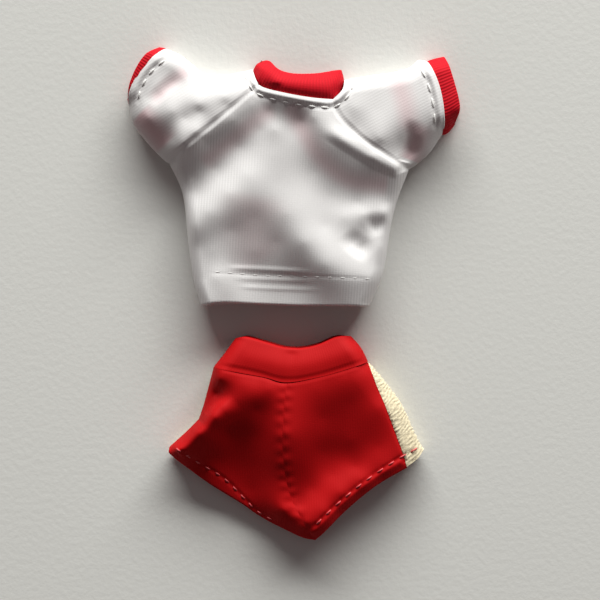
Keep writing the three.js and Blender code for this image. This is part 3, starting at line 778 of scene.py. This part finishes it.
cuffSpec = {"rows": 22, "around": 60, "over": topFront, "sink": 0.6, "seam": 2.2, "round": 3.4, "floor": 0.1,
            "roll": 0.25}
leftCuffLow = smoothThrough([(-32.6, 36.2), (-32.1, 38.9), (-30.8, 41.4), (-28.8, 43.8), (-25.4, 46.8)])
leftCuffHigh = smoothThrough([(-34.5, 38.6), (-34.0, 41.1), (-32.7, 44.1), (-30.8, 46.9), (-28.3, 48.8)])
leftCuffEdge = smoothThrough([(-32.6, 36.2), (-33.9, 37.2), (-34.5, 38.6)])
leftCuffTop = smoothThrough([(-25.4, 46.8), (-26.8, 48.3), (-28.3, 48.8)])
grid = bandGrid(leftCuffLow, leftCuffHigh, leftCuffEdge, leftCuffTop, cuffSpec)
made(foldedBand("leftCuffBand", grid, bandSpec), "redRib", "red_rib", "left_sleeve", "left_cuff_band",
     cut=(37, 10, 207))
rightCuffLow = smoothThrough([(27.2, 31.6), (26.6, 37.1), (25.7, 41.4), (24.1, 45.4)])
rightCuffHigh = smoothThrough([(31.0, 33.5), (31.7, 35.8), (31.4, 38.4), (30.2, 42.8), (28.9, 46.9)])
rightCuffEdge = smoothThrough([(27.2, 31.6), (29.2, 31.7), (31.0, 33.5)])
rightCuffTop = smoothThrough([(24.1, 45.4), (26.4, 46.2), (28.9, 46.9)])
grid = bandGrid(rightCuffLow, rightCuffHigh, rightCuffEdge, rightCuffTop, dict(cuffSpec, slope=-0.5))
made(foldedBand("rightCuffBand", grid, bandSpec, sign=-1), "redRib", "red_rib", "right_sleeve",
     "right_cuff_band", cut=(37, 10, 326))
print("bands ready")


# Stitches.
# Each stitch is a short bowed thread that dives into the cloth at both its ends.
def stitchRow(name, line, height, spec, material, slot, body, *nodes):
    starts, ends = needleHoles(line, spec["pitch"], spec["gap"])
    rings, sides = 9, 8
    places, faces = [], []
    for i, (a, b) in enumerate(zip(starts, ends)):
        t = np.linspace(0, 1, rings)
        plan = a + (b - a) * t[:, None]
        direction = (b - a) / np.linalg.norm(b - a)
        acrossPlan = np.array([-direction[1], direction[0]])
        bow = np.sin(t * math.pi) ** 0.6
        level = height(plan) + spec["lift"] * bow - spec["dive"] * (1 - bow)
        radius = spec["thick"] * (0.35 + 0.65 * np.sin(t * math.pi) ** 0.5)
        base = len(places)
        for k in range(rings):
            for j in range(sides):
                angle = 2 * math.pi * j / sides
                side = acrossPlan * math.cos(angle) * radius[k]
                places.append((plan[k][0] + side[0], plan[k][1] + side[1],
                               level[k] + math.sin(angle) * radius[k]))
        for k in range(rings - 1):
            for j in range(sides):
                n = (j + 1) % sides
                faces.append((base + k * sides + j, base + k * sides + n, base + (k + 1) * sides + n,
                              base + (k + 1) * sides + j))
        faces.append(tuple(base + j for j in reversed(range(sides))))
        faces.append(tuple(base + (rings - 1) * sides + j for j in range(sides)))
    mesh = bpy.data.meshes.new(name)
    mesh.from_pydata((np.array(places) * mm).tolist(), [], faces)
    layer = mesh.uv_layers.new(name="clothPlan")
    flatPlaces = np.array(places)[:, :2]
    corners = np.array([v for f in faces for v in f])
    layer.data.foreach_set("uv", flatPlaces[corners].astype(np.float32).reshape(-1))
    mesh.polygons.foreach_set("use_smooth", [True] * len(mesh.polygons))
    piece = bpy.data.objects.new(name, mesh)
    bpy.context.collection.objects.link(piece)
    only(piece)
    bpy.ops.object.mode_set(mode="EDIT")
    bpy.ops.mesh.select_all(action="SELECT")
    bpy.ops.mesh.normals_make_consistent(inside=False)
    bpy.ops.object.mode_set(mode="OBJECT")
    return made(piece, material, slot, body, *nodes)


stitchRow("neckStitches", neckRow, topFront, stitchSpec, "whiteThread", "white_thread", "top",
          "neck_stitching")
stitchRow("leftCuffStitches", leftCuffRow, topFront, stitchSpec, "whiteThread", "white_thread",
          "left_sleeve", "left_cuff_stitching")
stitchRow("rightCuffStitches", rightCuffRow, topFront, stitchSpec, "whiteThread", "white_thread",
          "right_sleeve", "right_cuff_stitching")
hemRow = smoothThrough([(-17.6, 3.9), (-8, 3.2), (0, 2.9), (8, 2.7), (14.6, 2.4)])
hemStitchSpec = dict(stitchSpec, thick=0.07, lift=0.0, dive=0.16, pitch=2.4)
stitchRow("hemStitches", hemRow, topFront, hemStitchSpec, "whiteThread", "white_thread", "top",
          "top_hem_stitching")
print("stitches ready")


# The shorts: outline.
waistSeam = smoothThrough([(-17.3, -15.2), (-12.0, -16.3), (-7.0, -17.2), (-2.7, -18.3), (3.5, -17.2),
                           (9.0, -15.7), (13.6, -14.2)])
centreShare = 0.475
centreSeam = smoothThrough([(-2.7, -18.3), (-3.3, -25.0), (-3.4, -32.0), (-2.2, -40.0), (0.6, -45.8),
                            (2.9, -49.5)])
shortsLeft = smoothThrough([(-17.3, -15.2), (-18.3, -19.0), (-19.4, -23.0), (-20.3, -25.6)])
flapLeftEdge = smoothThrough([(-20.3, -25.6), (-22.9, -28.2), (-26.1, -31.1)])
leftLegEdge = smoothThrough([(-26.1, -31.1), (-25.6, -32.6), (-21.5, -35.9), (-17.7, -38.6), (-12.3, -42.0),
                             (-7.3, -45.4), (-0.4, -48.8), (2.9, -49.6)])
rightLegEdge = smoothThrough([(2.9, -49.6), (4.6, -48.1), (8.2, -44.4), (12.0, -41.0), (16.0, -38.0),
                              (21.3, -35.0)])
stripeSeam = smoothThrough([(13.6, -14.2), (15.2, -18.6), (16.9, -22.6), (18.7, -27.4), (20.3, -31.6),
                            (21.3, -35.0)])
stripeOuter = smoothThrough([(13.9, -14.3), (17.7, -18.9), (20.3, -22.6), (22.4, -27.0), (23.8, -30.1),
                             (24.8, -31.5)])
stripeEnd = smoothThrough([(21.3, -35.0), (23.6, -33.3), (24.8, -31.5)])
shortsSides = [shortsLeft, flapLeftEdge, stripeOuter]

shortsLoft = {"middle": 5.6, "seam": 2.2, "round": 2.0, "stripeRound": 5.0, "backRound": 2.6}
shortsRelief = {
    "waist": [(-15.8, -15.6, 6.6), (-9, -17.0, 6.9), (-2.7, -18.4, 7.1), (4, -17.2, 7.0), (9, -15.8, 6.9),
              (13, -14.6, 6.9)],
    "underWaist": [(-16.0, -17.4, 6.9), (-11, -18.4, 7.9), (-6, -19.3, 8.1), (-2.7, -21.0, 7.6),
                   (3, -19.3, 7.3), (9, -17.5, 7.2), (13.2, -16.4, 6.9)],
    "flapRidge": [(-13.2, -21.4, 7.8), (-16.8, -24.8, 7.9), (-20.2, -27.8, 7.4), (-24.6, -31.4, 6.4)],
    "flapPocket": [(-16.2, -19.8, 5.0), (-18.4, -22.8, 4.8), (-20.6, -25.4, 4.6), (-24.0, -28.8, 4.2)],
    "leftLeg": [(-8.6, -23.6, 6.7), (-9.2, -29.0, 4.8), (-9.4, -35.0, 3.1), (-9.8, -39.6, 2.1),
                (-14.2, -28.4, 5.0), (-17.0, -33.4, 3.3)],
    "leftHem": [(-25.6, -32.6, 4.4), (-22.4, -35.0, 2.9), (-17.7, -38.4, 2.1), (-12.3, -41.8, 1.7),
                (-7.3, -45.2, 1.7), (-2.0, -47.8, 3.0)],
    "middle": [(-2.6, -24.4, 7.8), (-2.6, -28.4, 8.1), (-2.9, -34.0, 6.8), (-3.2, -39.6, 5.3),
               (-3.2, -43.4, 5.7)],
    "rightLeg": [(4.4, -25.2, 6.1), (4.4, -32.2, 4.5), (10, -22.4, 6.4), (10, -29.6, 5.1), (16, -23.0, 5.8),
                 (15.6, -31.0, 4.9), (19.4, -32.0, 4.8)],
    "rollFoot": [(-0.8, -42.0, 4.3), (2.6, -39.4, 4.3), (6.4, -36.6, 4.4), (11.0, -34.9, 4.6)],
    "roll": [(1.4, -46.4, 6.1), (4.4, -43.4, 6.7), (8.0, -39.9, 6.5), (12.2, -37.4, 6.1), (17.2, -34.9, 5.4)],
    "rightHem": [(3.0, -49.0, 4.6), (8.0, -44.2, 5.2), (12.2, -40.6, 5.2), (16.4, -37.4, 4.8),
                 (20.4, -35.2, 4.2)],
    "stripe": [(17.0, -19.6, 4.6), (20.6, -25.6, 4.2), (23.0, -31.2, 3.8)],
}
shortsHeight = reliefThrough(shortsRelief)
shortsFolds = [
    fold([(-19.4, -24.2), (-17.6, -21.2), (-15.6, -19.4)], -0.9, 1.7, 1.5, (0.1, 0.3)),
    fold([(-12.8, -21.2), (-17.2, -24.2), (-21.2, -27.7), (-25.2, -31.4)], 0.95, 3.4, 1.7, (0.2, 0.03)),
    fold(centreSeam[::8].tolist(), -0.1, 0.7, 0.7, (0, 0)),
    fold(stripeSeam[::8].tolist(), -0.3, 0.5, 0.5, (0, 0)),
    fold(waistSeam[::8].tolist(), -0.1, 0.5, 0.6, (0, 0)),
]
legStitchSpec = {"pitch": 2.5, "gap": 0.95, "thick": 0.15, "lift": 0.15, "dive": 0.22, "prickDepth": 0.1,
                 "prickRound": 0.34}
leftLegRow = smoothThrough([(-24.9, -30.9), (-20.8, -33.9), (-15.4, -37.3), (-11.6, -41.0), (-8.6, -44.0),
                            (-5.0, -46.0)])
rightLegRow = smoothThrough([(2.9, -46.6), (5.6, -43.9), (8.6, -41.2), (12.0, -38.4), (16.0, -35.6),
                             (19.8, -33.2), (22.2, -32.0), (24.0, -31.0)])
shortsHoles = []
for row, spec in ((leftLegRow, dict(legStitchSpec, pitch=2.2)), (rightLegRow, legStitchSpec)):
    shortsHoles += list(np.concatenate(needleHoles(row, spec["pitch"], spec["gap"])))
    shortsFolds.append(fold(row[::5].tolist(), -0.08, 0.7, 0.7, (0, 0)))
shortsFolds.append(fold(shifted(rightLegEdge, 1.4)[::6].tolist(), 0.3, 1.2, 1.4, (0.03, 0.03)))
shortsDepth = 0.85
pucker = {"pitch": 2.4, "high": 0.065, "reach": 2.4}


def shortsFront(points):
    rise, far = edgeRise(points, [shortsLeft, flapLeftEdge], shortsLoft["round"])
    stripeRise, stripeFar = edgeRise(points, [stripeOuter], shortsLoft["stripeRound"])
    rise, far = np.minimum(rise, stripeRise), np.minimum(far, stripeFar)
    folds = foldHeight(points, shortsFolds) + prickHeight(points, shortsHoles, legStitchSpec["prickDepth"],
                                                          legStitchSpec["prickRound"])
    near, side, place = besideLine(points, centreSeam)
    length = lengthsAlong(centreSeam)[-1]
    wave = np.sin(2 * math.pi * place * length / pucker["pitch"] + 0.8 * side + 1.4 * np.sin(place * 9))
    folds = folds + pucker["high"] * wave * (1 - ease(near / pucker["reach"])) * ease(near / 0.3)
    folds = folds + wobble(points, 21, 5.0, 0.08)
    calm = ease(far / 3.0)
    level = shortsLoft["middle"] + (shortsHeight(points) - shortsLoft["middle"]) * shortsDepth
    return shortsLoft["seam"] + (level - shortsLoft["seam"] + folds * calm) * rise


def shortsBack(points):
    return backFace(points, shortsSides, shortsLoft, 31)


# The left stripe lies wholly underneath, and is sewn to the back.
stripeTaper = {"top": 0.9, "bottom": 3.6, "rows": 170, "columns": 14}
outerLeft = np.concatenate([shortsLeft, flapLeftEdge[1:]])
taper = np.linspace(stripeTaper["top"], stripeTaper["bottom"], len(outerLeft))
innerLeft = shifted(outerLeft, taper[:, None])
t, s = np.linspace(0, 1, stripeTaper["rows"]), np.linspace(0, 1, stripeTaper["columns"])
plan = fillBetween(at(np.array([outerLeft[-1], innerLeft[-1]]), s),
                   at(np.array([outerLeft[0], innerLeft[0]]), s),
                   at(outerLeft[::-1], t), at(innerLeft[::-1], t), s, t)
leftStripe = meshFrom("leftSideStripe", lifted(plan, shortsBack(plan) - 0.02), flip=True)
thicken(leftStripe, 0.1)
made(leftStripe, "creamLoop", "cream_loop", "shorts", "left_side_stripe")

# The shorts: panels.
panelGrid = {"across": 90, "up": 130, "cloth": 0.34, "hem": 3.2, "turnGap": 0.75}
up = np.linspace(0, 1, panelGrid["up"])
leftEdgeUp = cornered(flapLeftEdge[::-1], shortsLeft[::-1], up, 0.42)
waistLeft = at(waistSeam, np.linspace(0, centreShare, 60))
waistRight = at(waistSeam, np.linspace(centreShare, 1, 60))
leftShare = 1 - np.cos(np.linspace(0, math.pi / 2, panelGrid["across"]))
evenShare = np.linspace(0, 1, panelGrid["across"])
leftHalf = (at(leftLegEdge, leftShare), at(waistLeft, leftShare), leftEdgeUp, at(centreSeam[::-1], up),
            leftShare)
rightHalf = (at(rightLegEdge, evenShare), at(waistRight, evenShare), at(centreSeam[::-1], up),
             at(stripeSeam[::-1], up), evenShare)
for name, node, height, half, sign, cut, trims in (
        ("shortsFrontLeft", "shorts_front_left_panel", shortsFront, leftHalf, 1, (31, 37, 698), ()),
        ("shortsFrontRight", "shorts_front_right_panel", shortsFront, rightHalf, 1, (26, 39, 572), ()),
        ("shortsBackLeft", "shorts_back_left_panel", shortsBack, leftHalf, -1, (27, 37, 606), [leftStripe]),
        ("shortsBackRight", "shorts_back_right_panel", shortsBack, rightHalf, -1, (24, 39, 568), ())):
    plan = fillBetween(*half, up)
    grid = lifted(plan, height(plan))
    grid = turnedUp(grid, rowsWithin(grid, panelGrid["hem"]), panelGrid["turnGap"], sign=sign)
    piece = meshFrom(name, grid, plan=turnedPlan(grid[..., :2], ribTurns["shorts"]), flip=sign < 0)
    thicken(piece, panelGrid["cloth"])
    made(piece, "redKnit", "red_knit", "shorts", node, cut=cut, trims=trims)
print("shorts panels ready")


# The leg's stitches run on over the looped stripe, which stands higher.
def overStripe(points):
    return shortsFront(points) + (stripeSpec["bump"] + 0.1) * ease((points[..., 0] - 20.2) / 0.6)


# The side stripe, of looped cloth that wraps the side.
stripeSpec = {"along": 170, "across": 26, "bump": 0.13, "pitch": 0.75, "cloth": 0.3}
t = np.linspace(0, 1, stripeSpec["along"])
s = crowded(stripeSpec["across"])[stripeSpec["across"] // 2 - 1:]
s = (s - s[0]) / (s[-1] - s[0])
plan = fillBetween(at(stripeEnd, s), at(smoothThrough([(13.6, -14.2), (13.75, -14.25), (13.9, -14.3)]), s),
                   at(stripeSeam[::-1], t), at(stripeOuter[::-1], t), s, t)


def loopPile(points, seed):
    rng = np.random.default_rng(seed)
    x, y = points[..., 0], points[..., 1]
    total = np.zeros(x.shape)
    for turn in (0.35, 1.45, 2.5):
        total += np.sin((x * math.cos(turn) + y * math.sin(turn)) * 2 * math.pi / stripeSpec["pitch"]
                        + 1.7 * np.sin(1.9 * x + turn * 3) + 1.3 * np.sin(2.3 * y))
    return total / 3 + 0.35 * rng.uniform(-1, 1, x.shape)


front = lifted(plan, shortsFront(plan) + 0.1)
back = lifted(plan, shortsBack(plan))
grid = np.concatenate([front, back[:, -2::-1]], 1)
normals = gridNormals(grid)
flat = np.concatenate([plan, 2 * plan[:, -1:] - plan[:, -2::-1]], 1)
grid = grid + normals * (stripeSpec["bump"] * loopPile(flat, 5))[..., None]
piece = meshFrom("rightSideStripe", grid, plan=flat)
thicken(piece, stripeSpec["cloth"])
made(piece, "creamLoop", "cream_loop", "shorts", "right_side_stripe", cut=(12, 23, 203))

print("stripes ready")


# The waistband, folded over its elastic.
bandLow = smoothThrough([(-17.3, -15.2), (-12.0, -16.2), (-7.0, -17.1), (-2.7, -18.1), (3.5, -17.1),
                         (9.0, -15.6), (13.6, -14.1)])
bandHigh = smoothThrough([(-12.9, -9.4), (-10.6, -9.4), (-6.6, -10.5), (-2.9, -11.5), (0.2, -11.6),
                          (3.6, -10.9), (7.2, -9.4), (10.2, -9.0)])
bandLeft = smoothThrough([(-17.3, -15.2), (-15.0, -12.5), (-12.9, -9.4)])
bandRight = smoothThrough([(13.6, -14.1), (12.1, -11.4), (10.2, -9.0)])
waistSpec = {"rows": 44, "around": 110, "high": 6.45, "slope": -1.7, "roll": 0.35, "seam": 2.6, "round": 2.8,
             "floor": 0.1, "wall": 1.35, "cloth": 0.34, "bulge": 0.15,
             "shape": lambda p: foldHeight(p, [
                 fold([(-2.8, -18.4), (-2.0, -14.6), (-1.4, -11.4)], -0.25, 2.2, 2.2, (0.0, 0.2)),
                 fold([(-16.5, -14.6), (-9.0, -16.1), (-2.7, -17.6), (4.0, -16.6), (13.0, -13.8)],
                      -0.12, 0.9, 0.8, (0, 0)),
                 fold([(-12.5, -12.6), (-6.5, -13.9), (-2.0, -14.8), (4.5, -13.6), (11.5, -11.4)],
                      0.15, 2.6, 2.6, (0.1, 0.1)),
             ]) + wobble(p, 41, 4.0, 0.1)}
grid = bandGrid(bandLow, bandHigh, bandLeft, bandRight, waistSpec)
made(foldedBand("waistCloth", grid, waistSpec), "redKnit", "red_knit", "shorts", "waistband",
     cut=(65, 12, 780))
elasticSpec = {"rows": (12, 34), "under": 0.42, "thick": 0.5}
ring = (grid - gridNormals(grid, True) * elasticSpec["under"])[slice(*elasticSpec["rows"])]
elastic = meshFrom("waistElastic", ring, ring=True)
thicken(elastic, elasticSpec["thick"])
made(elastic, "elastic", "elastic_white", "shorts", "waist_elastic")
stitchRow("leftLegStitches", leftLegRow, shortsFront, dict(legStitchSpec, pitch=2.2), "redThread",
          "red_thread", "shorts", "left_leg_stitching")
stitchRow("rightLegStitches", rightLegRow, overStripe, legStitchSpec, "redThread", "red_thread", "shorts",
          "right_leg_stitching")
print("waistband and leg stitches ready")

# Floor and light.
paper = bpy.data.materials.new("palePaper")
paper.use_nodes = True
paperNodes, paperLinks = paper.node_tree.nodes, paper.node_tree.links
paperShader = paperNodes["Principled BSDF"]
paperShader.inputs["Base Color"].default_value = (0.78, 0.775, 0.74, 1)
paperShader.inputs["Roughness"].default_value = 0.85
paperShader.inputs["Specular IOR Level"].default_value = 0.2
place = paperNodes.new("ShaderNodeTexCoord")
grain = paperNodes.new("ShaderNodeTexNoise")
grain.inputs["Scale"].default_value = 900
grain.inputs["Detail"].default_value = 5
paperBump = paperNodes.new("ShaderNodeBump")
paperBump.inputs["Strength"].default_value = 1
paperBump.inputs["Distance"].default_value = 0.00004
paperLinks.new(place.outputs["Object"], grain.inputs["Vector"])
paperLinks.new(grain.outputs["Fac"], paperBump.inputs["Height"])
paperLinks.new(paperBump.outputs["Normal"], paperShader.inputs["Normal"])
bpy.ops.object.select_all(action="DESELECT")
bpy.ops.mesh.primitive_plane_add(size=3.0, location=(0, 0, -0.00005))
floor = bpy.context.active_object
floor.name = "floor"
floor.data.materials.append(paper)


def softLight(name, spec):
    data = bpy.data.lights.new(name, "AREA")
    data.shape, data.size, data.size_y = "RECTANGLE", spec["wide"], spec["tall"]
    data.energy, data.color = spec["power"], spec["colour"]
    lamp = bpy.data.objects.new(name, data)
    tilt, turn = math.radians(spec["elevation"]), math.radians(spec["azimuth"])
    lamp.location = (spec["away"] * math.cos(tilt) * math.cos(turn),
                     spec["away"] * math.cos(tilt) * math.sin(turn),
                     spec["away"] * math.sin(tilt))
    lamp.rotation_euler = (math.pi / 2 - tilt, 0, turn + math.pi / 2)
    bpy.context.collection.objects.link(lamp)


softLight("windowLight", {"wide": 2.0, "tall": 0.5, "power": 54, "elevation": 20, "azimuth": 82, "away": 1.5,
                          "colour": (0.98, 1, 0.975)})
world = bpy.data.worlds.new("room")
world.use_nodes = True
world.node_tree.nodes["Background"].inputs["Color"].default_value = (1.0, 0.85, 0.86, 1)
world.node_tree.nodes["Background"].inputs["Strength"].default_value = 0.11
bpy.context.scene.world = world
print("floor and light ready")
